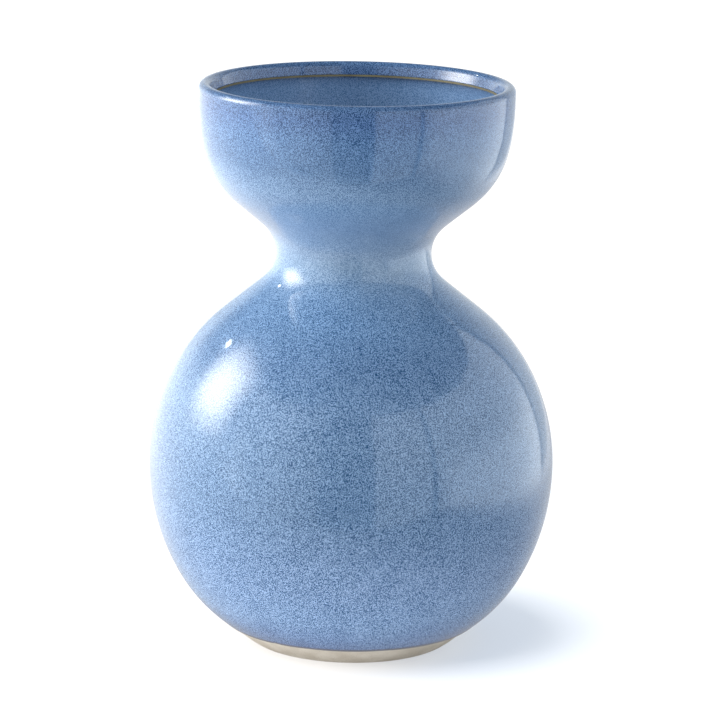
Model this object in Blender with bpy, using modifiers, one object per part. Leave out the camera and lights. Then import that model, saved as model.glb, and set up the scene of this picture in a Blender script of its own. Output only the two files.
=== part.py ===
"""Stoneware flower vase: a globe, a narrow waist and a flared bowl with a rolled lip.

Everything is turned about the Z axis, in metres, +Z up. The origin is the centre of the plane
that the foot rests on. The clay is three sections luted together (foot ring, globe and bowl),
under one glaze coat outside and one inside. JOINT is the gap left for the slip between two clay
sections, and between a glaze coat and its clay.
"""

import math
from collections import namedtuple

import bpy

NAME = "flower_vase"

# Roundness: columns round the axis, and the steps that stand for each arc of the outline
SEGMENTS = 40
WELD = 0.00001
HEEL_STEPS = 3
LOWER_GLOBE_STEPS = 4
UPPER_GLOBE_STEPS = 3
SHOULDER_STEPS = 3
WAIST_STEPS = 3
LAP_STEPS = 1
BOWL_BELLY_STEPS = 4
BOWL_SIDE_STEPS = 2
LIP_STEPS = 7
FLOOR_STEPS = 2
FOOT_EDGE_STEPS = 3

# Headings, in degrees
LEVEL = 0.0
UPRIGHT = 90.0

# Overall outline, walked upwards from the foot. A heading of 0 degrees points away from the axis,
# 90 straight up. Each radius is that of a true arc in the outline, and each arc runs on smoothly
# from the one before it.
EQUATOR_RADIUS = 0.110
EQUATOR_Z = 0.0984
HEEL_RADIUS = 0.0848
HEEL_HEADING = 36.5
LOWER_GLOBE_RADIUS = 0.1214
LOWER_GLOBE_HEADING = 60.0
UPPER_GLOBE_RADIUS = 0.1125
UPPER_GLOBE_HEADING = 115.0
SHOULDER_RADIUS = 0.0987
SHOULDER_HEADING = 141.4
SHOULDER_FLANK = 0.0283
WAIST_ARC_RADIUS = 0.0202
BOWL_FLANK_HEADING = 39.2
BOWL_FLANK = 0.0206
BOWL_BELLY_RADIUS = 0.0487
BOWL_BELLY_HEADING = 76.3
BOWL_SIDE_RADIUS = 0.1063
HEIGHT = 0.3062

# Lip
LIP_RADIUS = 0.0035
LIP_HEADING = 250.0
LIP_SLOPE = 0.0045
BARE_BEAD = 0.0008
BEAD_DEPTH = 0.0043

# Foot
BARE_BAND = 0.0192
FOOT_RING_WIDTH = 0.0080
FOOT_RECESS = 0.0035
FOOT_EDGE_RADIUS = 0.0040
FOOT_INNER_BEVEL = 0.0010
FOOT_LAP_INSET = 0.0030

# Walls, measured inwards from the outline
JOINT = 0.0003
GLAZE = 0.0005
WALL = 0.0070
CLAY_OUTER = GLAZE + JOINT
LINER_BACK = WALL - GLAZE
CLAY_INNER = LINER_BACK - JOINT
CLAY_MIDDLE = (CLAY_OUTER + CLAY_INNER) / 2

# Waist lap: the upper section's skirt hangs outside the lower section's tongue
LAP_LOW_HEADING = 99.0
LAP_HIGH_HEADING = 81.0

# Floor inside the globe
FLOOR_Z = FOOT_RECESS + JOINT
FLOOR_FILLET = 0.019

# Plain surfaces: name, colour, roughness, coat weight
BARE_CLAY = ("bare_stoneware", (0.62, 0.56, 0.47), 0.85, 0.0)
BODY_CLAY = ("body_stoneware", (0.42, 0.36, 0.29), 0.80, 0.0)
OUTER_BLUE = ("speckled_blue_glaze", (0.20, 0.33, 0.60), 0.22, 0.6)
LINER_BLUE = ("liner_blue_glaze", (0.17, 0.29, 0.53), 0.25, 0.5)

Station = namedtuple("Station", "r z inward_r inward_z mark")


def walk(start, heading, moves):
    """Stations along a smooth outline: each has its place, its inward normal and an optional mark.

    A move is ("line", length, mark) or ("arc", radius, end heading, steps, mark). An arc bulges
    away from the axis when it turns left, and towards the axis when it turns right.
    """
    r, z = start
    angle = math.radians(heading)
    stations = [Station(r, z, -math.sin(angle), math.cos(angle), "start")]
    for kind, size, *rest in moves:
        if kind == "line":
            r += size * math.cos(angle)
            z += size * math.sin(angle)
            stations.append(Station(r, z, -math.sin(angle), math.cos(angle), rest[0]))
            continue
        end_heading, steps, mark = rest
        end = math.radians(end_heading)
        side = math.copysign(1, end - angle)
        centre_r = r - side * size * math.sin(angle)
        centre_z = z + side * size * math.cos(angle)
        first = angle
        for step in range(1, steps + 1):
            angle = first + (end - first) * step / steps
            r = centre_r + side * size * math.sin(angle)
            z = centre_z - side * size * math.cos(angle)
            here = mark if step == steps else None
            stations.append(Station(r, z, -math.sin(angle), math.cos(angle), here))
    return stations


def run(stations, first, last, inset):
    """Points from one mark to another, in either direction, a fixed distance inside the outline."""
    places = {station.mark: place for place, station in enumerate(stations) if station.mark}
    low, high = sorted((places[first], places[last]))
    points = [
        (station.r + inset * station.inward_r, station.z + inset * station.inward_z)
        for station in stations[low:high + 1]
    ]
    return points if places[first] < places[last] else points[::-1]


def arc_span(radius, first_heading, last_heading):
    """How far an arc carries the outline along r and z."""
    first, last = math.radians(first_heading), math.radians(last_heading)
    return radius * (math.sin(last) - math.sin(first)), radius * (math.cos(first) - math.cos(last))


def heel_start():
    """Where the straight foot cone meets the first arc of the globe, reached down from the equator."""
    lower_r, lower_z = arc_span(LOWER_GLOBE_RADIUS, LOWER_GLOBE_HEADING, UPRIGHT)
    heel_r, heel_z = arc_span(HEEL_RADIUS, HEEL_HEADING, LOWER_GLOBE_HEADING)
    return EQUATOR_RADIUS - lower_r - heel_r, EQUATOR_Z - lower_z - heel_z


def body_moves():
    """The outline from the foot cone to the start of the lip, shared by every surface."""
    gap_turn = math.degrees(JOINT / WAIST_ARC_RADIUS)
    return [
        ("arc", HEEL_RADIUS, LOWER_GLOBE_HEADING, HEEL_STEPS, None),
        ("arc", LOWER_GLOBE_RADIUS, UPRIGHT, LOWER_GLOBE_STEPS, "equator"),
        ("arc", UPPER_GLOBE_RADIUS, UPPER_GLOBE_HEADING, UPPER_GLOBE_STEPS, None),
        ("arc", SHOULDER_RADIUS, SHOULDER_HEADING, SHOULDER_STEPS, None),
        ("line", SHOULDER_FLANK, None),
        ("arc", WAIST_ARC_RADIUS, LAP_LOW_HEADING, WAIST_STEPS, "lap_low"),
        ("arc", WAIST_ARC_RADIUS, LAP_LOW_HEADING - gap_turn, LAP_STEPS, "skirt_low"),
        ("arc", WAIST_ARC_RADIUS, LAP_HIGH_HEADING, LAP_STEPS, "lap_high"),
        ("arc", WAIST_ARC_RADIUS, LAP_HIGH_HEADING - gap_turn, LAP_STEPS, "skirt_high"),
        ("arc", WAIST_ARC_RADIUS, BOWL_FLANK_HEADING, WAIST_STEPS, None),
        ("line", BOWL_FLANK, None),
        ("arc", BOWL_BELLY_RADIUS, BOWL_BELLY_HEADING, BOWL_BELLY_STEPS, None),
        ("arc", BOWL_SIDE_RADIUS, UPRIGHT, BOWL_SIDE_STEPS, "side_top"),
    ]


def outer_stations():
    """The outside outline, from the edge of the foot, up and over the lip, to its inner edge."""
    heel_r, heel_z = heel_start()
    cone = heel_z / math.sin(math.radians(HEEL_HEADING))
    foot = (heel_r - cone * math.cos(math.radians(HEEL_HEADING)), 0.0)
    cone_moves = [
        ("line", BARE_BAND - JOINT, "foot_top"),
        ("line", JOINT, "glaze_line"),
        ("line", cone - BARE_BAND, "heel"),
    ]
    body = walk(foot, HEEL_HEADING, cone_moves + body_moves())
    rise = HEIGHT - LIP_RADIUS - body[-1].z
    lip_moves = [
        ("line", rise, "lip_start"),
        ("arc", LIP_RADIUS, LIP_HEADING, LIP_STEPS, None),
        ("line", LIP_SLOPE, "lip_edge"),
        ("line", JOINT, "bead_top"),
        ("line", BARE_BEAD, "bead_bottom"),
    ]
    return walk(foot, HEEL_HEADING, cone_moves + body_moves() + lip_moves)


def inner_stations():
    """The outline that the inside surfaces follow: a flat floor, then the same globe and bowl."""
    heel_r, heel_z = heel_start()
    slope = math.radians(HEEL_HEADING)
    fillet_reach = FLOOR_FILLET * math.tan(slope / 2)
    corner_r = heel_r - (heel_z - FLOOR_Z) / math.tan(slope)
    cone = math.hypot(heel_r - corner_r, heel_z - FLOOR_Z) - fillet_reach
    floor_moves = [
        ("line", corner_r - fillet_reach, None),
        ("arc", FLOOR_FILLET, HEEL_HEADING, FLOOR_STEPS, None),
        ("line", cone, "heel"),
    ]
    body = walk((0.0, FLOOR_Z), LEVEL, floor_moves + body_moves())
    bead_z = HEIGHT - LIP_RADIUS - BEAD_DEPTH
    wall_moves = [
        ("line", bead_z - JOINT - body[-1].z, "liner_top"),
        ("line", JOINT, "bead_under"),
    ]
    return walk((0.0, FLOOR_Z), LEVEL, floor_moves + body_moves() + wall_moves)


def outer_glaze_profile(outer):
    return run(outer, "lip_edge", "glaze_line", 0.0) + run(outer, "glaze_line", "lip_edge", GLAZE)


def inner_glaze_profile(inner):
    return run(inner, "start", "liner_top", WALL) + run(inner, "liner_top", "start", LINER_BACK)


def bowl_wall_profile(outer, inner):
    tongue = CLAY_MIDDLE - JOINT / 2
    return (
        run(outer, "bead_bottom", "bead_top", 0.0)
        + run(outer, "bead_top", "skirt_low", CLAY_OUTER)
        + run(outer, "skirt_low", "skirt_high", tongue)
        + run(inner, "skirt_high", "bead_under", CLAY_INNER)
    )


def globe_wall_profile(outer, inner):
    tongue = CLAY_MIDDLE + JOINT / 2
    foot_lap = FOOT_LAP_INSET + JOINT
    seat_r, seat_z = run(outer, "start", "foot_top", foot_lap)[0]
    seat_r += (FLOOR_Z - seat_z) / math.tan(math.radians(HEEL_HEADING))
    return (
        run(inner, "start", "lap_high", CLAY_INNER)
        + run(inner, "lap_high", "lap_low", tongue)
        + run(outer, "lap_low", "glaze_line", CLAY_OUTER)
        + run(outer, "glaze_line", "glaze_line", foot_lap)
        + [(seat_r, FLOOR_Z), (0.0, FLOOR_Z)]
    )


def foot_ring_profile(outer):
    slope = math.radians(HEEL_HEADING)
    reach = FOOT_EDGE_RADIUS * math.tan(slope / 2)
    foot_r = outer[0].r
    edge_moves = [("arc", FOOT_EDGE_RADIUS, HEEL_HEADING, FOOT_EDGE_STEPS, None)]
    edge = walk((foot_r - reach, 0.0), LEVEL, edge_moves)
    edge_points = [(station.r, station.z) for station in edge]
    inner_r = foot_r - reach - FOOT_RING_WIDTH
    lap_r, lap_z = run(outer, "start", "foot_top", FOOT_LAP_INSET)[0]
    lap_r += (FOOT_RECESS - lap_z) / math.tan(slope)
    return (
        run(outer, "foot_top", "foot_top", 0.0)
        + edge_points[::-1]
        + [(inner_r, 0.0), (inner_r - FOOT_INNER_BEVEL, FOOT_INNER_BEVEL)]
        + [(inner_r - FOOT_INNER_BEVEL, FOOT_RECESS), (lap_r, FOOT_RECESS)]
        + run(outer, "foot_top", "foot_top", FOOT_LAP_INSET)
    )


def material(name, colour, roughness, coat):
    made = bpy.data.materials.new(name)
    made.use_nodes = True
    shader = made.node_tree.nodes["Principled BSDF"]
    shader.inputs["Base Color"].default_value = (*colour, 1.0)
    shader.inputs["Roughness"].default_value = roughness
    shader.inputs["Metallic"].default_value = 0.0
    shader.inputs["Coat Weight"].default_value = coat
    made.diffuse_color = (*colour, 1.0)
    return made


def turned(name, profile, closed, collection, surface):
    """A solid of revolution: the profile runs down its outer side and back up its inner side."""
    mesh = bpy.data.meshes.new(name)
    edges = [(place, place + 1) for place in range(len(profile) - 1)]
    if closed:
        edges.append((len(profile) - 1, 0))
    mesh.from_pydata([(r, 0.0, z) for r, z in profile], edges, [])
    mesh.materials.append(surface)
    solid = bpy.data.objects.new(name, mesh)
    collection.objects.link(solid)
    screw = solid.modifiers.new("Turn", "SCREW")
    screw.axis = "Z"
    screw.angle = 2 * math.pi
    screw.steps = SEGMENTS
    screw.render_steps = SEGMENTS
    screw.use_merge_vertices = True
    screw.merge_threshold = WELD
    screw.use_smooth_shade = True
    return solid


def clear_scene():
    for old in list(bpy.data.objects):
        bpy.data.objects.remove(old, do_unlink=True)


def main():
    clear_scene()
    vase = bpy.data.collections.new(NAME)
    bpy.context.scene.collection.children.link(vase)
    bare_clay = material(*BARE_CLAY)
    body_clay = material(*BODY_CLAY)
    blue = material(*OUTER_BLUE)
    liner_blue = material(*LINER_BLUE)
    outer = outer_stations()
    inner = inner_stations()
    turned("foot_ring", foot_ring_profile(outer), True, vase, bare_clay)
    turned("globe_wall", globe_wall_profile(outer, inner), False, vase, body_clay)
    turned("bowl_wall", bowl_wall_profile(outer, inner), True, vase, body_clay)
    turned("outer_glaze", outer_glaze_profile(outer), True, vase, blue)
    turned("inner_glaze", inner_glaze_profile(inner), False, vase, liner_blue)


main()
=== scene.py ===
"""The finished surface of the stoneware vase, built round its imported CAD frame, with its studio.

Every outline comes from the CAD nodes: each is read at azimuth 0, turned back into the true lines
and arcs that its facets stand for, and spun again at a finer pitch with the potter's small
irregularities. Lengths are in metres, +Z up, and the vase stands on z = 0.
"""

import math

import bmesh
import bpy
import numpy as np
from mathutils import Matrix, Vector

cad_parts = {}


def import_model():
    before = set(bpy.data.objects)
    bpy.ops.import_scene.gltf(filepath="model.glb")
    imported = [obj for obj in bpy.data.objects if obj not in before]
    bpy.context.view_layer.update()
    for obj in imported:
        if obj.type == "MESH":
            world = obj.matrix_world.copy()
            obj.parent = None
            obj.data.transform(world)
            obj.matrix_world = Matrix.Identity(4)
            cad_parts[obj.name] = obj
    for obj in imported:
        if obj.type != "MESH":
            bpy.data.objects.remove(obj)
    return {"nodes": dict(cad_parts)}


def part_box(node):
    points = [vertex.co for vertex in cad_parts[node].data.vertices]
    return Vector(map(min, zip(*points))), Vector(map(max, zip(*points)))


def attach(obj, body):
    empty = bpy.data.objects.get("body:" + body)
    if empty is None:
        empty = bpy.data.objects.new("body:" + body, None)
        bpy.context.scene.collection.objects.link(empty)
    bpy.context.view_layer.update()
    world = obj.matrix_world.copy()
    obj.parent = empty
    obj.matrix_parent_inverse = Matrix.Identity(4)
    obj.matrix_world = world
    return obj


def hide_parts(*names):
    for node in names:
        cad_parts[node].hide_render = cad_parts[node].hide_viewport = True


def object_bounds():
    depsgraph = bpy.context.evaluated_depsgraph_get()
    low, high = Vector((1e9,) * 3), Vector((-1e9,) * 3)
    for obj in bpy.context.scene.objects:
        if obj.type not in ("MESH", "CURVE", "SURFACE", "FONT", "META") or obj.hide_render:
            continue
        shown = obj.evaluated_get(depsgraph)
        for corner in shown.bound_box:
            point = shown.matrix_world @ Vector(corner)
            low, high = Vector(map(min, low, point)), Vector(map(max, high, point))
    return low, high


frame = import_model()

cad_low, cad_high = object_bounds()

MM = 0.001
TINY = 1e-7
BODY = "root"
WHITE = (1.0, 1.0, 1.0, 1.0)
BLACK = (0.0, 0.0, 0.0, 1.0)


def widest_point(node):
    """The node's vertex that is farthest along X."""
    return max((vertex.co for vertex in frame["nodes"][node].data.vertices), key=lambda co: co.x)


# Levels on the vase, read from the frame
HEIGHT = cad_high.z
EQUATOR_Z = widest_point("outer_glaze").z
LINER_TOP_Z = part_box("inner_glaze")[1].z
FOOT_TOP_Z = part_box("foot_ring")[1].z

# Mesh fineness, and the turns that count as a corner of an outline and as a sharp edge of a mesh
COLUMNS = 240
COAT_PITCH = 1.6 * MM
LIP_PITCH = 0.45 * MM
LINER_PITCH = 2.0 * MM
CLAY_PITCH = 3.0 * MM
FOOT_PITCH = 0.4 * MM
BACK_STRIDE = 3
CORNER_TURN = math.radians(40)
SHARP_TURN = math.radians(55)

STRAIGHT_POINTS = 3
ARC_SAMPLES = 8

# Glaze coats: thickness, the zone of the lip, and how much their arcs are blended
GLAZE = 0.5 * MM
LIP_ZONE = 6.0 * MM
SOFTEN_ROUNDS = 10
LINER_ROUNDS = 2
END_ANGLES = np.radians([30, 60, 90, 120, 150])

AZIMUTHS = np.arange(COLUMNS) * 2 * math.pi / COLUMNS


# ---------------------------------------------------------------- outlines

def section(node):
    """A node's outline at azimuth 0: its (r, z) points in order, and whether it closes.

    A flat floor has no vertex at its middle, so an outline left open there is carried on
    level to the axis.
    """
    mesh = frame["nodes"][node].data
    key = {}
    place = {}
    for vertex in mesh.vertices:
        r, y, z = vertex.co
        if abs(y) < TINY and r > -TINY:
            key[vertex.index] = (round(r, 6), round(z, 6))
            place.setdefault(key[vertex.index], (max(r, 0.0), z))
    links = {}
    for edge in mesh.edges:
        first, last = (key.get(index) for index in edge.vertices)
        if first and last and first != last:
            links.setdefault(first, set()).add(last)
            links.setdefault(last, set()).add(first)
    ends = sorted(point for point, near in links.items() if len(near) == 1)
    closed = not ends
    chain = [ends[0] if ends else min(links)]
    while True:
        onward = sorted(links[chain[-1]] - set(chain[-2:]))
        if not onward or onward[0] == chain[0]:
            break
        chain.append(onward[0])
    outline = [place[point] for point in chain]
    if not closed and outline[0][0] > TINY:
        outline.insert(0, (0.0, outline[0][1]))
    if not closed and outline[-1][0] > TINY:
        outline.append((0.0, outline[-1][1]))
    return np.array(outline), closed


def runs(points, closed):
    """The outline cut at its corners into smooth runs. Neighbouring runs share their corner."""
    if closed:
        points = np.vstack([points, points[:1]])
    steps = np.diff(points, axis=0)
    headings = np.arctan2(steps[:, 1], steps[:, 0])
    turns = np.angle(np.exp(1j * np.diff(headings)))
    corners = [place + 1 for place, turn in enumerate(turns) if abs(turn) > CORNER_TURN]
    if closed:
        first = corners[0]
        points = np.vstack([points[first:-1], points[:first + 1]])
        corners = [corner - first for corner in corners]
        return runs(points, False)
    cuts = [0] + corners + [len(points) - 1]
    return [points[low:high + 1] for low, high in zip(cuts[:-1], cuts[1:])]


def turns_from(heading, chords):
    """How far the outline turns along each facet, given its heading at the first point.

    A facet spans a line or an arc, so its direction is the mean of the headings at its two ends.
    """
    turns = []
    for chord in chords:
        turns.append(2 * (chord - heading))
        heading += turns[-1]
    return np.array(turns)


def true_run(points, pitch):
    """The lines and arcs that a smooth run of facets stands for, resampled at an even pitch.

    A run starts along a line or part way round an arc: the start that bends most evenly is kept.
    """
    steps = np.diff(points, axis=0)
    chords = np.unwrap(np.arctan2(steps[:, 1], steps[:, 0]))
    lengths = np.hypot(steps[:, 0], steps[:, 1])
    starts = (chords[0], chords[0] - (chords[1] - chords[0]) / 2)
    turns = min(
        (turns_from(heading, chords) for heading in starts),
        key=lambda turns: np.abs(np.diff(turns / lengths)).sum(),
    )
    heading = chords[0] - turns[0] / 2
    dense = [points[0]]
    for start, turn, length in zip(points, turns, lengths):
        count = max(2, math.ceil(ARC_SAMPLES * length / pitch))
        for share in np.arange(1, count + 1) / count:
            reach = length * share
            if abs(turn) > TINY:
                reach = length * math.sin(turn * share / 2) / math.sin(turn / 2)
            along = heading + turn * share / 2
            dense.append(start + reach * np.array([math.cos(along), math.sin(along)]))
        heading += turn
    return even(np.array(dense), pitch)


def even(points, pitch):
    """The same run at an even pitch."""
    steps = np.diff(points, axis=0)
    travel = np.concatenate([[0.0], np.cumsum(np.hypot(steps[:, 0], steps[:, 1]))])
    count = max(2, round(travel[-1] / pitch) + 1)
    at = np.linspace(0.0, travel[-1], count)
    return np.stack([np.interp(at, travel, points[:, axis]) for axis in (0, 1)], axis=1)


def softened(points, share, rounds):
    """Repeated light averaging, which blends one arc into the next. A point of share 0 stays."""
    moved = points.copy()
    for _ in range(rounds):
        middle = (moved[:-2] + moved[2:]) / 2
        moved[1:-1] += 0.5 * share[1:-1, None] * (middle - moved[1:-1])
    return moved


def smoothstep(value, low, high):
    """0 below low, 1 above high, and an eased change between them."""
    share = np.clip((value - low) / (high - low), 0.0, 1.0)
    return share * share * (3 - 2 * share)


def normals(points):
    """(tangent, left-hand normal) at each point of a run."""
    tangent = np.gradient(points, axis=0)
    tangent /= np.hypot(tangent[:, 0], tangent[:, 1])[:, None]
    return tangent, np.stack([-tangent[:, 1], tangent[:, 0]], axis=1)


# ---------------------------------------------------------------- the potter's hand

FOOT_LEAN = 0.8 * MM
NECK_LEAN = -0.65 * MM


def lean(z):
    """How far the axis wanders along X: the foot one way, the neck a little the other way."""
    low = FOOT_LEAN * np.clip(1 - z / EQUATOR_Z, 0.0, None) ** 2
    high = NECK_LEAN * np.sin(math.pi * np.clip((z - EQUATOR_Z) / (HEIGHT - EQUATOR_Z), 0, 1)) ** 2
    return low + high


def waves(azimuth, terms):
    """A closed wavy line round the vase: (cycles, size, phase) for each term."""
    return sum(size * np.sin(cycles * azimuth + phase) for cycles, size, phase in terms)


THROWING_PITCH = 10.5 * MM
THROWING_DEPTH = 0.018 * MM
THROWING_FADE = 23 * MM
THROWING_PHASE = 1.3
SWELL_TWIST = 60 * MM
SWELL_TERMS = ((2, 0.09 * MM, 0.4), (3, 0.05 * MM, 2.1), (5, 0.03 * MM, 4.4))


def relief(azimuth, travel, z):
    """Throwing rings and the slight swell of a hand-turned wall, never outside the CAD wall."""
    spiral = np.sin(2 * math.pi * travel / THROWING_PITCH + azimuth)
    unevenness = 0.5 + 0.5 * np.sin(travel / THROWING_FADE + 2 * azimuth + THROWING_PHASE)
    swell = waves(azimuth + z / SWELL_TWIST, SWELL_TERMS)
    deepest = sum(size for _, size, _ in SWELL_TERMS)
    return THROWING_DEPTH * (spiral * unevenness - 1) + (swell - deepest) / 2


# ---------------------------------------------------------------- meshes

def spun(name, r, z):
    """A closed skin from arrays of r and z, one row of the array for each azimuth. It is shut
    along the outline where both ends meet the axis, and joined end to start where they don't."""
    count = r.shape[1]
    to_axis = bool(r[0, 0] < TINY)
    x = r * np.cos(AZIMUTHS)[:, None] + lean(z)
    y = r * np.sin(AZIMUTHS)[:, None]
    mesh = bpy.data.meshes.new(name)
    shape = bmesh.new()
    rows = []
    for row in range(count):
        if to_axis and row in (0, count - 1):
            pole = shape.verts.new((float(lean(z[0, row])), 0.0, float(z[0, row])))
            rows.append([pole] * COLUMNS)
            continue
        rows.append([
            shape.verts.new((x[column, row], y[column, row], z[column, row]))
            for column in range(COLUMNS)
        ])
    pairs = list(zip(rows[:-1], rows[1:]))
    if not to_axis:
        pairs.append((rows[-1], rows[0]))
    for low, high in pairs:
        for column in range(COLUMNS):
            after = (column + 1) % COLUMNS
            ring = [low[column], low[after], high[after], high[column]]
            corners = [v for place, v in enumerate(ring) if v is not ring[place - 1]]
            shape.faces.new(corners)
    bmesh.ops.recalc_face_normals(shape, faces=shape.faces)
    shape.to_mesh(mesh)
    shape.free()
    mesh.shade_smooth()
    mesh.set_sharp_from_angle(angle=SHARP_TURN)
    made = bpy.data.objects.new(name, mesh)
    bpy.context.scene.collection.objects.link(made)
    return made


def edge_arc(point, tangent, normal, thickness):
    """The rounded end of a thin coat: a half circle from its face round to its back."""
    centre = point - normal * thickness / 2
    return [
        centre + thickness / 2 * (math.cos(angle) * normal + math.sin(angle) * tangent)
        for angle in END_ANGLES
    ]


def coat_rows(face, outward, thickness, open_start):
    """Rows right round a coat: up its face, over its end, down its back and round its start.

    Gives the rows, their outward normals and tangents, how much of the face's relief each row
    takes, and how far along the face each row is.
    """
    tangent, normal = normals(face)
    normal = normal * outward
    steps = np.hypot(*np.diff(face, axis=0).T)
    travel = np.concatenate([[0.0], np.cumsum(steps)])
    rows = [(face[i], normal[i], tangent[i], 1.0, travel[i]) for i in range(len(face))]
    for point in edge_arc(face[-1], tangent[-1], normal[-1], thickness):
        rows.append((point, normal[-1], tangent[-1], 0.5, travel[-1]))
    back = list(range(len(face) - 1, 0, -BACK_STRIDE)) + [0]
    for i in back:
        rows.append((face[i] - normal[i] * thickness, normal[i], tangent[i], 0.0, travel[i]))
    if open_start:
        for point in edge_arc(face[0], -tangent[0], normal[0], thickness)[::-1]:
            rows.append((point, normal[0], tangent[0], 0.5, travel[0]))
    place, normal, tangent, front, travel = map(np.array, zip(*rows))
    return place, normal, tangent, front, travel


# ---------------------------------------------------------------- glaze coats

# The foot edge of the outer coat: how it wanders, how far it comes down, and its thick bead.
# The notch is the small bare nick in that edge.
FOOT_WAVE = ((3, 0.16 * MM, 0.7), (7, 0.12 * MM, 2.9), (12, 0.09 * MM, 5.1), (23, 0.05 * MM, 1.1))
FOOT_OVERLAP = 0.75 * MM
FOOT_FADE = 7.0 * MM
BEAD_RISE = 0.28 * MM
BEAD_AT = 0.9 * MM
BEAD_SPREAD = 0.8 * MM
NOTCH_AZIMUTH = math.radians(-124)
NOTCH_HALF_WIDTH = math.radians(1.6)
NOTCH_DEPTH = 0.7 * MM

# Levels between which the outer coat's blending and its relief fade out towards the lip
BLEND_FADE = (HEIGHT - 4 * LIP_ZONE, HEIGHT - 2 * LIP_ZONE)
RELIEF_FADE = (HEIGHT - 3 * LIP_ZONE, HEIGHT - LIP_ZONE)

# The same for the liner, and the radii over which each fades in from the middle of the floor
LINER_BLEND_FADE = (LINER_TOP_Z - 2 * LIP_ZONE, LINER_TOP_Z - LIP_ZONE)
LINER_BLEND_RADII = (8.0 * MM, 16.0 * MM)
LINER_RELIEF_RADII = (0.0, 36.0 * MM)


def long_runs(node):
    """The node's smooth runs, longest first."""
    points, closed = section(node)
    parts = runs(points, closed)
    return sorted(parts, key=lambda run: -np.hypot(*np.diff(run, axis=0).T).sum())


def glaze_coat():
    """The outer glaze: from its wavy edge above the foot, up and over the lip."""
    outer = max(long_runs("outer_glaze")[:2], key=lambda run: run[:, 0].max())
    if outer[0, 1] > outer[-1, 1]:
        outer = outer[::-1]
    fine = true_run(outer, LIP_PITCH)
    top = int(np.argmax(fine[:, 1] > HEIGHT - LIP_ZONE))
    body = even(fine[:top + 1], COAT_PITCH)
    body = softened(body, 1 - smoothstep(body[:, 1], *BLEND_FADE), SOFTEN_ROUNDS)
    face = np.vstack([body[:-1], fine[top:]])
    place, normal, tangent, front, travel = coat_rows(face, -1.0, GLAZE, True)
    azimuth = AZIMUTHS[:, None]
    off_lip = 1 - smoothstep(place[:, 1], *RELIEF_FADE)
    raised = relief(azimuth, travel[None, :], place[None, :, 1]) * off_lip
    bead = BEAD_RISE * np.exp(-((travel - BEAD_AT) / BEAD_SPREAD) ** 2) * front
    from_notch = np.angle(np.exp(1j * (azimuth - NOTCH_AZIMUTH))) / NOTCH_HALF_WIDTH
    edge = waves(azimuth, FOOT_WAVE) - FOOT_OVERLAP + NOTCH_DEPTH * np.exp(-from_notch ** 2)
    slide = edge * (1 - smoothstep(travel, 0.0, FOOT_FADE))[None, :]
    outwards = raised + bead[None, :]
    r = place[None, :, 0] + outwards * normal[None, :, 0] + slide * tangent[None, :, 0]
    z = place[None, :, 1] + outwards * normal[None, :, 1] + slide * tangent[None, :, 1]
    return spun("glaze_coat", r, z)


def glaze_liner():
    """The inner glaze: from the middle of the floor up to the step under the lip."""
    candidates = long_runs("inner_glaze")[:2]
    inner = max(candidates, key=lambda run: run[np.argmin(run[:, 0]), 1])
    if inner[0, 0] > inner[-1, 0]:
        inner = inner[::-1]
    face = true_run(inner, LINER_PITCH)
    share = smoothstep(face[:, 0], *LINER_BLEND_RADII)
    share *= 1 - smoothstep(face[:, 1], *LINER_BLEND_FADE)
    face = softened(face, share, LINER_ROUNDS)
    place, normal, _, _, travel = coat_rows(face, 1.0, GLAZE, False)
    raised = relief(AZIMUTHS[:, None], travel[None, :], place[None, :, 1])
    raised *= smoothstep(place[:, 0], *LINER_RELIEF_RADII)
    r = place[None, :, 0] + raised * normal[None, :, 0]
    z = place[None, :, 1] + raised * normal[None, :, 1]
    return spun("glaze_liner", r, z)


# ---------------------------------------------------------------- clay

# The bare bead in the lip: the faces that belong to it, and how its upright face bulges and hangs
BRINK_LENGTH = 1.5 * MM
BRINK_RISE = 0.4 * MM
BRINK_STEPS = 6
BRINK_BULGE = 0.22 * MM
BRINK_HANG = 0.6 * MM


def clay_run(run):
    """One smooth stretch of a clay outline, on its true arcs so that no glaze is cut through."""
    if len(run) <= STRAIGHT_POINTS:
        return even(run, CLAY_PITCH)
    return true_run(run, CLAY_PITCH)


def clay_outline(node):
    """The whole outline of a clay section at a fine pitch, its corners kept."""
    points, closed = section(node)
    parts = [clay_run(run)[:-1] for run in runs(points, closed)]
    if not closed:
        parts.append(points[-1:])
    return np.vstack(parts)


def clay_globe():
    """The lower section: the floor and the globe, wholly under the two glazes."""
    outline = clay_outline("globe_wall")
    every = np.ones((COLUMNS, 1))
    return spun("clay_globe", every * outline[:, 0], every * outline[:, 1])


def clay_bowl():
    """The upper section. Its one bare place is the thin bead left between the two glazes."""
    points, closed = section("bowl_wall")
    parts = []
    for run in runs(points, closed):
        fine = clay_run(run)
        length = np.hypot(*np.diff(run, axis=0).T).sum()
        if length < BRINK_LENGTH and run[:, 1].min() > HEIGHT - 2 * LIP_ZONE:
            fine = even(run, length / BRINK_STEPS)
            if abs(run[0, 1] - run[-1, 1]) > BRINK_RISE:
                swell = np.sin(np.linspace(0, math.pi, len(fine)))
                fine[:, 0] -= BRINK_BULGE * swell
                fine[:, 1] -= BRINK_HANG * swell
        parts.append(fine[:-1])
    outline = np.vstack(parts)
    every = np.ones((COLUMNS, 1))
    return spun("clay_bowl", every * outline[:, 0], every * outline[:, 1])


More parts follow.
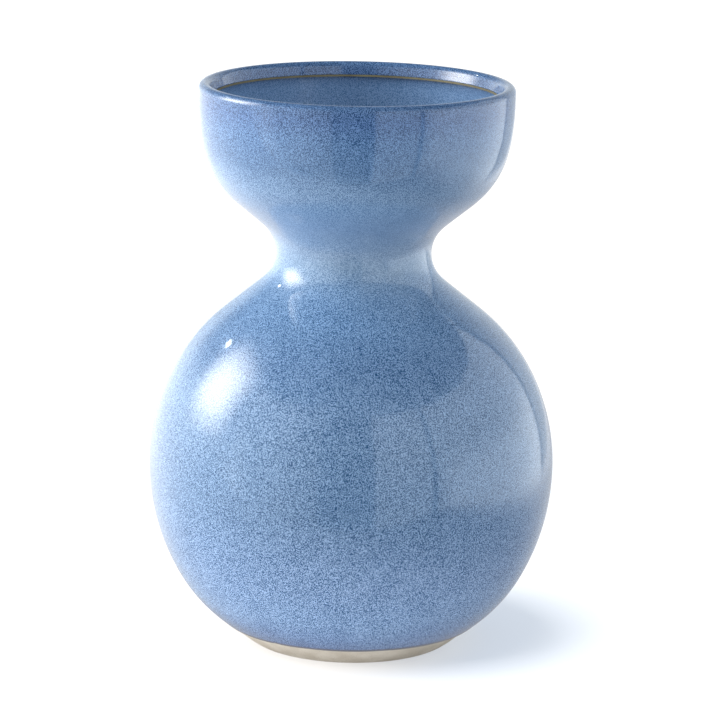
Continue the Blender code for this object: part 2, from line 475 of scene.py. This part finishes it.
# The foot ring's turned face: its corners' rounding, how far it is set back, its tool grooves, the
# low ridge near the floor, and one chip. Only the part that faces outwards takes them.
FOOT_ROUNDS = 3
FACING = (0.2, 0.5)
TREAD_Z = 0.2 * MM
INSET_TOP = 0.56 * MM
INSET_BOTTOM = 0.12 * MM
GROOVE_DEPTH = 0.05 * MM
GROOVE_PITCH = 1.3 * MM
GROOVE_TWIST = 2 * MM
RIDGE_Z = 3.2 * MM
RIDGE_RISE = 0.12 * MM
RIDGE_SPREAD = 0.5 * MM
CHIP_AZIMUTH = math.radians(-126)
CHIP_Z = 10.4 * MM
CHIP_RADIUS = 1.3 * MM
CHIP_DEPTH = 0.35 * MM


def clay_foot():
    """The bare foot ring, set back under the glaze's edge, with the marks of the turning tool."""
    points, closed = section("foot_ring")
    parts = [even(run, FOOT_PITCH)[:-1] for run in runs(points, closed)]
    outline = np.vstack(parts)
    for _ in range(FOOT_ROUNDS):
        outline = (np.roll(outline, 1, axis=0) + 2 * outline + np.roll(outline, -1, axis=0)) / 4
    after, before = np.roll(outline, -1, axis=0), np.roll(outline, 1, axis=0)
    tangent = after - before
    tangent /= np.hypot(tangent[:, 0], tangent[:, 1])[:, None]
    normal = np.stack([tangent[:, 1], -tangent[:, 0]], axis=1)
    area = np.sum(before[:, 0] * outline[:, 1] - outline[:, 0] * before[:, 1])
    normal *= 1.0 if area > 0 else -1.0
    r, z = outline[:, 0], outline[:, 1]
    outer = smoothstep(normal[:, 0], *FACING) * (z > TREAD_Z)
    azimuth = AZIMUTHS[:, None]
    inset = INSET_BOTTOM + (INSET_TOP - INSET_BOTTOM) * smoothstep(z, RIDGE_Z, 0.8 * FOOT_TOP_Z)
    groove = GROOVE_DEPTH * (0.5 + 0.5 * np.sin(2 * math.pi * z / GROOVE_PITCH + azimuth))
    groove = groove * (0.6 + 0.4 * np.sin(3 * azimuth + z / GROOVE_TWIST))
    ridge = RIDGE_RISE * np.exp(-((z - RIDGE_Z) / RIDGE_SPREAD) ** 2)
    around = np.angle(np.exp(1j * (azimuth - CHIP_AZIMUTH))) * r
    chip = CHIP_DEPTH * np.exp(-(around ** 2 + (z - CHIP_Z) ** 2) / CHIP_RADIUS ** 2)
    push = (ridge - inset - groove - chip) * outer
    return spun("clay_foot", r + push * normal[:, 0], z + push * normal[:, 1])


# ---------------------------------------------------------------- shader nodes

def srgb(red, green, blue):
    """Linear colour from the usual 0 to 255 screen values."""
    linear = []
    for value in (red, green, blue):
        share = value / 255
        linear.append(share / 12.92 if share < 0.04045 else ((share + 0.055) / 1.055) ** 2.4)
    return (*linear, 1.0)


class Tree:
    """Adds nodes to a material, a world or a light, and links them."""

    def __init__(self, owner):
        owner.use_nodes = True
        self.nodes = owner.node_tree.nodes
        self.links = owner.node_tree.links
        self.nodes.clear()

    def add(self, kind, inputs=None, **settings):
        """A new node. Inputs take a value or another node's output socket."""
        node = self.nodes.new(kind)
        for name, value in settings.items():
            setattr(node, name, value)
        for name, value in (inputs or {}).items():
            self.feed(node.inputs[name], value)
        return node

    def feed(self, socket, value):
        if isinstance(value, bpy.types.NodeSocket):
            self.links.new(value, socket)
        else:
            socket.default_value = value

    def math(self, operation, first, second=0.0):
        return self.add("ShaderNodeMath", {0: first, 1: second}, operation=operation).outputs[0]

    def product(self, *factors):
        total = factors[0]
        for factor in factors[1:]:
            total = self.math("MULTIPLY", total, factor)
        return total

    def sum(self, *terms):
        total = terms[0]
        for term in terms[1:]:
            total = self.math("ADD", total, term)
        return total

    def grey(self, value):
        return self.add("ShaderNodeCombineColor", dict.fromkeys(range(3), value)).outputs[0]

    def mix(self, share, low, high, blend="MIX"):
        """Two colours mixed. Inputs 6 and 7 and output 2 are the colour sockets of the node."""
        node = self.add("ShaderNodeMix", {0: share, 6: low, 7: high}, data_type="RGBA")
        node.blend_type = blend
        return node.outputs[2]

    def step(self, value, low, high, start=0.0, end=1.0):
        """Start below low, end above high, and an eased change between them."""
        inputs = {
            "Value": value, "From Min": low, "From Max": high, "To Min": start, "To Max": end,
        }
        node = self.add("ShaderNodeMapRange", inputs, interpolation_type="SMOOTHSTEP")
        return node.outputs["Result"]

    def window(self, value, low, high, soft):
        """1 between low and high and 0 outside, with edges that are soft wide."""
        return self.product(
            self.step(value, low - soft / 2, low + soft / 2),
            self.step(value, high - soft / 2, high + soft / 2, 1.0, 0.0),
        )

    def ramp(self, value, stops):
        node = self.add("ShaderNodeValToRGB", {"Fac": value})
        bar = node.color_ramp
        while len(bar.elements) < len(stops):
            bar.elements.new(0.5)
        for element, (place, colour) in zip(bar.elements, stops):
            element.position = place
            element.color = colour
        return node.outputs["Color"]

    def noise(self, place, scale, detail=2.0, roughness=0.5, distortion=0.0):
        inputs = {
            "Vector": place, "Scale": scale, "Detail": detail,
            "Roughness": roughness, "Distortion": distortion,
        }
        return self.add("ShaderNodeTexNoise", inputs).outputs["Fac"]

    def millimetres(self):
        """The place on the object, in millimetres."""
        place = self.add("ShaderNodeTexCoord").outputs["Object"]
        return self.add(
            "ShaderNodeVectorMath", {0: place, "Scale": 1 / MM}, operation="SCALE"
        ).outputs[0]

    def bump(self, height, distance, under=None):
        """The normal that a small relief gives, on top of another one if there is one."""
        inputs = {"Height": height, "Strength": 1.0, "Distance": distance}
        if under is not None:
            inputs["Normal"] = under
        return self.add("ShaderNodeBump", inputs).outputs[0]

    def surface(self, shader):
        output = self.add("ShaderNodeOutputMaterial")
        self.links.new(shader, output.inputs["Surface"])


# ---------------------------------------------------------------- materials

# Glaze colour by height: (height in mm, mean colour, strength of the speckle)
COAT_BANDS = (
    (11, (84, 109, 152), 0.85),
    (20, (96, 125, 166), 0.95),
    (30, (109, 138, 175), 1.00),
    (54, (107, 134, 170), 1.00),
    (97, (89, 118, 152), 1.00),
    (130, (97, 126, 160), 1.00),
    (150, (101, 130, 165), 1.00),
    (168, (96, 126, 163), 1.00),
    (188, (101, 133, 170), 0.95),
    (203, (109, 139, 173), 0.70),
    (214, (117, 143, 171), 0.42),
    (224, (118, 143, 173), 0.40),
    (236, (106, 134, 169), 0.40),
    (258, (101, 131, 165), 0.60),
    (272, (79, 110, 147), 0.68),
    (287, (79, 111, 151), 0.85),
    (297, (68, 98, 141), 0.95),
    (302, (67, 96, 137), 0.95),
    (306, (78, 108, 147), 0.85),
)
LINER_BANDS = (
    (10, (101, 131, 168), 0.5),
    (270, (105, 136, 173), 0.5),
    (292, (105, 136, 173), 0.45),
    (299, (88, 114, 149), 0.4),
)

# Where the coat ends above the foot it darkens: levels in mm, colour, and how strongly
EDGE_LOW = 11.9
EDGE_HIGH = 13.3
EDGE_TINT = (0.085, 0.080, 0.105, 1.0)
COAT_EDGE = 0.85
LINER_EDGE = 0.0

# The speckle: its two tints average to no tint. Scales are cycles per mm, and the share of the
# noise at which dark turns to pale shifts a little with the mottle.
DARK_TINT = (0.02, 0.24, 0.40, 1.0)
PALE_TINT = (1.98, 1.76, 1.60, 1.0)
SPECK_SCALE = 2.15
SPECK_TURN = (0.46, 0.54)
SPECK_RELIEF = 0.0008 * MM
MOTTLE_SCALE = 0.055
MOTTLE_SHIFT = 0.07
MOTTLE_RANGE = (0.3, 0.7)

# The bands wander up and down by a noise, which fades out below the lip
DRIFT_SCALE = 0.035
DRIFT_SIZE = 18.0
DRIFT_FADE = (0.90, 0.97)

# The surface: a hazy layer under clear glass with a slow ripple
RIPPLE_SCALE = 0.16
RIPPLE_RELIEF = 0.02 * MM
HAZE_ROUGHNESS = 0.33
HAZE_SPREAD = 0.06
GLASS_IOR = 1.5
GLASS_WEIGHT = 0.75
GLASS_ROUGHNESS = 0.07
HAZE_LEVEL = 0.26


def glaze_material(name, bands, edge):
    """Reactive glaze: a pale worm-like network of crystals floating on a darker blue."""
    made = bpy.data.materials.new(name)
    tree = Tree(made)
    place = tree.millimetres()
    up = tree.add("ShaderNodeSeparateXYZ", {0: place}).outputs["Z"]
    top = HEIGHT / MM
    drift = tree.math("SUBTRACT", tree.noise(place, DRIFT_SCALE, 2.0), 0.5)
    settle = tree.step(up, DRIFT_FADE[0] * top, DRIFT_FADE[1] * top, DRIFT_SIZE, 0.0)
    level = tree.math("DIVIDE", tree.sum(up, tree.product(drift, settle)), top)
    mean = tree.ramp(level, [(z / top, srgb(*colour)) for z, colour, _ in bands])
    strength = tree.ramp(level, [(z / top, (s, s, s, 1.0)) for z, _, s in bands])
    worms = tree.noise(place, SPECK_SCALE, 1.0, 0.5, 0.2)
    mottle = tree.noise(place, MOTTLE_SCALE, 4.0, 0.6)
    shift = tree.math("MULTIPLY", tree.math("SUBTRACT", mottle, 0.5), MOTTLE_SHIFT)
    share = tree.step(tree.sum(worms, shift), *SPECK_TURN)
    tint = tree.mix(share, DARK_TINT, PALE_TINT)
    tint = tree.mix(strength, WHITE, tint)
    blue = tree.mix(1.0, mean, tint, "MULTIPLY")
    blue = tree.mix(tree.step(up, EDGE_LOW, EDGE_HIGH, edge, 0.0), blue, EDGE_TINT)
    ripple = tree.noise(place, RIPPLE_SCALE, 2.0)
    fine = tree.bump(share, SPECK_RELIEF)
    normal = tree.bump(ripple, RIPPLE_RELIEF, fine)
    haze = (HAZE_ROUGHNESS, HAZE_ROUGHNESS + HAZE_SPREAD)
    inputs = {
        "Base Color": blue,
        "Roughness": tree.step(mottle, *MOTTLE_RANGE, *haze),
        "IOR": GLASS_IOR,
        "Specular IOR Level": HAZE_LEVEL,
        "Normal": normal,
        "Coat Weight": GLASS_WEIGHT,
        "Coat Roughness": GLASS_ROUGHNESS,
        "Coat IOR": GLASS_IOR,
        "Coat Normal": normal,
    }
    shader = tree.add("ShaderNodeBsdfPrincipled", inputs)
    tree.surface(shader.outputs["BSDF"])
    return made


# Clay: (pale, dark and fleck colours, roughness), then its clouds, grain and iron flecks
BARE_CLAY = ((204, 196, 183), (182, 172, 157), (130, 108, 84), 0.72)
BODY_CLAY = ((118, 112, 84), (92, 86, 62), (62, 56, 38), 0.70)
CLOUD_SCALE = 0.09
CLOUD_RANGE = (0.25, 0.75)
GRAIN_SCALE = 3.2
GRAIN_ROUGHNESS = 0.7
GRAIN_RANGE = (0.35, 0.65)
GRAIN_SHARE = 0.15
GRAIN_RELIEF = 0.015 * MM
FLECK_SCALE = 0.9
FLECK_RADII = (0.10, 0.22)
FLECK_SHARE = 0.6


def clay_material(name, pale, dark, fleck, roughness):
    """Fired stoneware: pale and dark clouds, a fine grain and small iron flecks."""
    pale, dark, fleck = srgb(*pale), srgb(*dark), srgb(*fleck)
    made = bpy.data.materials.new(name)
    tree = Tree(made)
    place = tree.millimetres()
    cloud = tree.noise(place, CLOUD_SCALE, 3.0)
    grain = tree.noise(place, GRAIN_SCALE, 2.0, GRAIN_ROUGHNESS)
    body = tree.mix(tree.step(cloud, *CLOUD_RANGE), dark, pale)
    body = tree.mix(tree.step(grain, *GRAIN_RANGE, 0.0, GRAIN_SHARE), body, dark)
    spots = tree.add(
        "ShaderNodeTexVoronoi", {"Vector": place, "Scale": FLECK_SCALE, "Randomness": 1.0}
    ).outputs["Distance"]
    body = tree.mix(tree.step(spots, *FLECK_RADII, FLECK_SHARE, 0.0), body, fleck)
    normal = tree.bump(grain, GRAIN_RELIEF)
    inputs = {"Base Color": body, "Roughness": roughness, "Normal": normal}
    shader = tree.add("ShaderNodeBsdfPrincipled", inputs)
    tree.surface(shader.outputs["BSDF"])
    return made


def finish_pieces():
    """Makes the five visible pieces, each in the place of its CAD node."""
    coat = glaze_material("outer_blue_glaze", COAT_BANDS, COAT_EDGE)
    liner = glaze_material("liner_blue_glaze", LINER_BANDS, LINER_EDGE)
    bare = clay_material("bare_stoneware", *BARE_CLAY)
    body = clay_material("body_stoneware", *BODY_CLAY)
    table = (
        (glaze_coat, "outer_glaze", coat, "outer_blue_glaze"),
        (glaze_liner, "inner_glaze", liner, "liner_blue_glaze"),
        (clay_foot, "foot_ring", bare, "bare_stoneware"),
        (clay_bowl, "bowl_wall", body, "body_stoneware"),
        (clay_globe, "globe_wall", body, "body_stoneware"),
    )
    pieces = []
    for make, node, material, slot in table:
        piece = make()
        pieces.append(piece)
        piece.data.materials.append(material)
        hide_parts(node)
        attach(piece, BODY)
    return pieces


# ---------------------------------------------------------------- studio

# Far cards seen in the glaze: azimuth range and elevation range in degrees (azimuth 0 is towards
# the camera, 90 to the right), edge softness across and upright, and brightness.
CARDS = (
    (13.7, 47.1, -60, 38, 1.5, 3, 1.35),
    (49.9, 137.5, -60, 38, 1.5, 3, 1.45),
    (56.0, 137.5, -30, 8, 14, 14, 1.10),
    (141.0, 200.0, -40, 28, 3, 40, 0.85),
    (-200.0, -150.0, -40, 20, 16, 26, 1.00),
    (-72.0, -18.0, -60, 41, 4, 8, 0.75),
    (-76.0, -34.0, -30, 41, 20, 10, 0.75),
    (-152.0, -66.0, -30, 14, 24, 26, 2.10),
    (-130.0, -126.0, 31.4, 33.6, 1, 1, 40.0),
)
DARK_ROOM = 0.02
CARD_TINT = (0.94, 1.0, 1.04, 1.0)

# Matt light: its colour, how it grows along each axis, and the share of the cards it also gets
FILL = (0.82, 0.865, 0.905)
FILL_LEAN = (-0.12, 0.0, -0.45)
CARD_FILL = 0.52


def world():
    """Even fill for matt light, and a dark room with white cards for what the glaze mirrors."""
    made = bpy.data.worlds.new("studio")
    bpy.context.scene.world = made
    tree = Tree(made)
    away = tree.add("ShaderNodeTexCoord").outputs["Generated"]
    parts = tree.add("ShaderNodeSeparateXYZ", {0: away})
    back = tree.math("MULTIPLY", parts.outputs["Y"], -1.0)
    azimuth = tree.math("DEGREES", tree.math("ARCTAN2", parts.outputs["X"], back))
    elevation = tree.math("DEGREES", tree.math("ARCSINE", parts.outputs["Z"]))
    glow = DARK_ROOM
    for left, right, low, high, across, upright, strength in CARDS:
        card = tree.product(
            tree.window(azimuth, left, right, across),
            tree.window(elevation, low, high, upright),
            strength,
        )
        glow = tree.math("ADD", glow, card)
    rays = tree.add("ShaderNodeLightPath")
    grey = tree.mix(1.0, tree.grey(glow), CARD_TINT, "MULTIPLY")
    slant = tree.add("ShaderNodeVectorMath", {0: away, 1: FILL_LEAN}, operation="DOT_PRODUCT")
    amount = tree.math("ADD", slant.outputs["Value"], 1.0)
    matt = tree.add("ShaderNodeVectorMath", {0: FILL, "Scale": amount}, operation="SCALE")
    fill = tree.mix(CARD_FILL, matt.outputs[0], grey, "ADD")
    colour = tree.mix(rays.outputs["Is Diffuse Ray"], grey, fill)
    colour = tree.mix(rays.outputs["Is Camera Ray"], colour, WHITE)
    light = tree.add("ShaderNodeBackground", {"Color": colour, "Strength": 1.0})
    output = tree.add("ShaderNodeOutputWorld")
    tree.links.new(light.outputs[0], output.inputs["Surface"])


# The floor as the camera sees it: its own glow, which is painted fill light, warmer at the vase's
# left, and its matt colour.
# It runs into a white sweep. Distances in metres: along X, or from the vase's foot.
FLOOR_HALF = 30.0
FLOOR_DROP = 0.1 * MM
# The glow is painted light: a cool fill that gives the floor's shadow its colour, and warm bounce
# from the foot at the vase's left.
PAINTED_FILL_GLOW = (0.46, 0.505, 0.57, 1.0)
PAINTED_BOUNCE_GLOW = (0.48, 0.465, 0.455, 1.0)
GLOW_TURN = (-0.02, 0.08)
FLOOR_MATT = (0.36, 0.36, 0.36, 1.0)
SWEEP = (0.35, 0.60)
SWEEP_GLOW = (1.15, 1.15, 1.15, 1.0)

# Painted light that it gives the vase in place of bounce: a painted pool of the key's light on the
# left, and painted shade close to the foot
BOUNCE_LEFT = 2.05
BOUNCE_TURN = (-0.35, 0.24)
BOUNCE_NEAR = 0.3
BOUNCE_REACH = (0.045, 0.11)

# What the glaze mirrors of it is a painted reflection: an even part, a painted pool of key light
# by the key, and more behind and on the right, up to the table's front and right edges. Past those
# it mirrors the cards.
MIRRORED_FLOOR = 0.42
MIRRORED_KEY = 1.1
KEY_TURN = (-0.45, 0.05)
MIRRORED_BACK = 0.34
BACK_TURN = (-0.05, 0.20)
MIRRORED_SIDE = 0.75
SIDE_TURN = (0.25, 0.42)
TABLE_FRONT = (-0.33, -0.30)
TABLE_RIGHT = (0.32, 0.52)


def floor():
    """A plain pale table that runs into a white sweep, with painted glow for the light it bounces
    and for what the glaze mirrors of it.
    """
    mesh = bpy.data.meshes.new("floor")
    corners = [(-1, -1), (1, -1), (1, 1), (-1, 1)]
    mesh.from_pydata(
        [(x * FLOOR_HALF, y * FLOOR_HALF, -FLOOR_DROP) for x, y in corners], [], [(0, 1, 2, 3)]
    )
    made = bpy.data.objects.new("floor", mesh)
    bpy.context.scene.collection.objects.link(made)
    material = bpy.data.materials.new("floor")
    tree = Tree(material)
    place = tree.add("ShaderNodeTexCoord").outputs["Object"]
    parts = tree.add("ShaderNodeSeparateXYZ", {0: place})
    x, y = parts.outputs["X"], parts.outputs["Y"]
    rays = tree.add("ShaderNodeLightPath")
    reach = tree.add("ShaderNodeVectorMath", {0: place}, operation="LENGTH").outputs["Value"]
    far = tree.step(reach, *SWEEP)
    # Painted fill glow, warmer at the foot's left as painted bounce, then the white sweep far off.
    glow = tree.mix(tree.step(x, *GLOW_TURN), PAINTED_BOUNCE_GLOW, PAINTED_FILL_GLOW)
    glow = tree.mix(far, glow, SWEEP_GLOW)
    # What diffuse rays see is painted: a pool of key light on the left and shade close to the
    # foot.
    bounce = tree.product(
        tree.step(x, *BOUNCE_TURN, BOUNCE_LEFT, 0.0),
        tree.step(reach, *BOUNCE_REACH, BOUNCE_NEAR, 1.0),
    )
    glow = tree.mix(rays.outputs["Is Diffuse Ray"], glow, tree.grey(bounce))
    matt = tree.mix(far, FLOOR_MATT, BLACK)
    # Painted reflection: a pool of key light on the left, and brighter behind and on the right.
    pool = tree.step(x, *KEY_TURN, MIRRORED_KEY, 0.0)
    back = tree.step(y, *BACK_TURN, 0.0, MIRRORED_BACK)
    side = tree.step(x, *SIDE_TURN, 0.0, MIRRORED_SIDE)
    seen = tree.grey(tree.sum(pool, back, side, MIRRORED_FLOOR))
    mirrored = rays.outputs["Is Glossy Ray"]
    emission = tree.add("ShaderNodeEmission", {"Color": tree.mix(mirrored, glow, seen)})
    diffuse = tree.add("ShaderNodeBsdfDiffuse", {"Color": tree.mix(mirrored, matt, BLACK)})
    both = tree.add("ShaderNodeAddShader", {0: emission.outputs[0], 1: diffuse.outputs[0]})
    past_front = tree.step(y, *TABLE_FRONT, 1.0, 0.0)
    past_right = tree.step(x, *TABLE_RIGHT)
    past = tree.product(mirrored, tree.math("MAXIMUM", past_front, past_right))
    clear = tree.add("ShaderNodeBsdfTransparent")
    shader = tree.add("ShaderNodeMixShader", {0: past, 1: both.outputs[0], 2: clear.outputs[0]})
    tree.surface(shader.outputs[0])
    mesh.materials.append(material)
    return made


# The key softbox, which lights the vase, and the top light, which lights the floor. Each has the
# way to it, its distance and size in metres, and its power. The flag is what shades the top light.
KEY_FROM = Vector((-0.06, -0.06, 0.155))
KEY_WAY = Vector((-0.879, 0.147, 0.454))
KEY_DISTANCE = 1.2
KEY_WIDTH = 1.05
KEY_HEIGHT = 1.10
KEY_POWER = 50.0
KEY_COLOUR = (1.0, 0.985, 0.96)
KEY_WINDOW = (0.22, 0.78, 0.44)
TOP_WAY = Vector((-0.34, -0.15, 0.93))
TOP_DISTANCE = 1.5
TOP_SIZE = 0.60
TOP_POWER = 31.0
TOP_COLOUR = (1.0, 0.99, 0.97)
FLAG_RADIUS = 84.0 * MM
FLAG_SIDES = 48


def area_light(name, place, target, width, height, power, colour):
    """A rectangular light that the camera doesn't see."""
    data = bpy.data.lights.new(name, "AREA")
    data.shape = "RECTANGLE"
    data.size = width
    data.size_y = height
    data.energy = power
    data.color = colour
    made = bpy.data.objects.new(name, data)
    bpy.context.scene.collection.objects.link(made)
    aim = Vector(target) - Vector(place)
    turn = aim.to_track_quat("-Z", "Y").to_matrix().to_4x4()
    made.matrix_world = Matrix.Translation(place) @ turn
    made.visible_camera = False
    return made


def soften_key(light):
    """A softbox is brightest in the middle and dims towards its rounded corners."""
    tree = Tree(light.data)
    across = tree.add("ShaderNodeNewGeometry").outputs["Parametric"]
    parts = tree.add("ShaderNodeSeparateXYZ", {0: across})
    edges = [tree.window(parts.outputs[axis], *KEY_WINDOW) for axis in ("X", "Y")]
    emission = tree.add("ShaderNodeEmission", {"Strength": tree.product(*edges)})
    output = tree.add("ShaderNodeOutputLight")
    tree.links.new(emission.outputs[0], output.inputs["Surface"])


def only(name, objects):
    """A collection that light linking can point at."""
    made = bpy.data.collections.new(name)
    for item in objects:
        made.objects.link(item)
    return made


def shadow_flag():
    """A disc inside the globe that only blocks the top light, for a small shadow on the floor."""
    mesh = bpy.data.meshes.new("shadow_flag")
    angles = np.arange(FLAG_SIDES) * 2 * math.pi / FLAG_SIDES
    corners = [
        (FLAG_RADIUS * math.cos(angle), FLAG_RADIUS * math.sin(angle), EQUATOR_Z)
        for angle in angles
    ]
    mesh.from_pydata(corners, [], [tuple(range(FLAG_SIDES))])
    made = bpy.data.objects.new("shadow_flag", mesh)
    bpy.context.scene.collection.objects.link(made)
    made.visible_camera = False
    made.visible_diffuse = False
    made.visible_glossy = False
    return made


def lights(ground, pieces):
    """The key softbox on the vase, and a high light on the floor alone for its soft shadow."""
    key = area_light(
        "key", KEY_FROM + KEY_WAY * KEY_DISTANCE, KEY_FROM, KEY_WIDTH, KEY_HEIGHT, KEY_POWER,
        KEY_COLOUR,
    )
    soften_key(key)
    key.light_linking.receiver_collection = only("vase_only", pieces)
    top = area_light(
        "top", TOP_WAY * TOP_DISTANCE, (0, 0, 0), TOP_SIZE, TOP_SIZE, TOP_POWER, TOP_COLOUR
    )
    top.light_linking.receiver_collection = only("floor_only", [ground])
    top.light_linking.blocker_collection = only("flag_only", [shadow_flag()])


# The camera of the photo, as fitted to the vase's outlines: metres, radians, and lens in mm
CAMERA_PLACE = (0.0, -1.9866, 0.6025)
CAMERA_PITCH = 0.2217
CAMERA_YAW = 0.0020
CAMERA_ROLL = 0.0168
CAMERA_LENS = 187.8
CAMERA_REACH = 100.0


def camera():
    """The scene's camera, at the photo's angle."""
    data = bpy.data.cameras.new("camera")
    data.lens = CAMERA_LENS
    data.clip_end = CAMERA_REACH
    made = bpy.data.objects.new("camera", data)
    bpy.context.scene.collection.objects.link(made)
    made.matrix_world = (
        Matrix.Translation(CAMERA_PLACE)
        @ Matrix.Rotation(-CAMERA_YAW, 4, "Z")
        @ Matrix.Rotation(math.pi / 2 - CAMERA_PITCH, 4, "X")
        @ Matrix.Rotation(CAMERA_ROLL, 4, "Z")
    )
    bpy.context.scene.camera = made


vase = finish_pieces()
world()
lights(floor(), vase)
camera()
bpy.context.scene.view_settings.view_transform = "Standard"
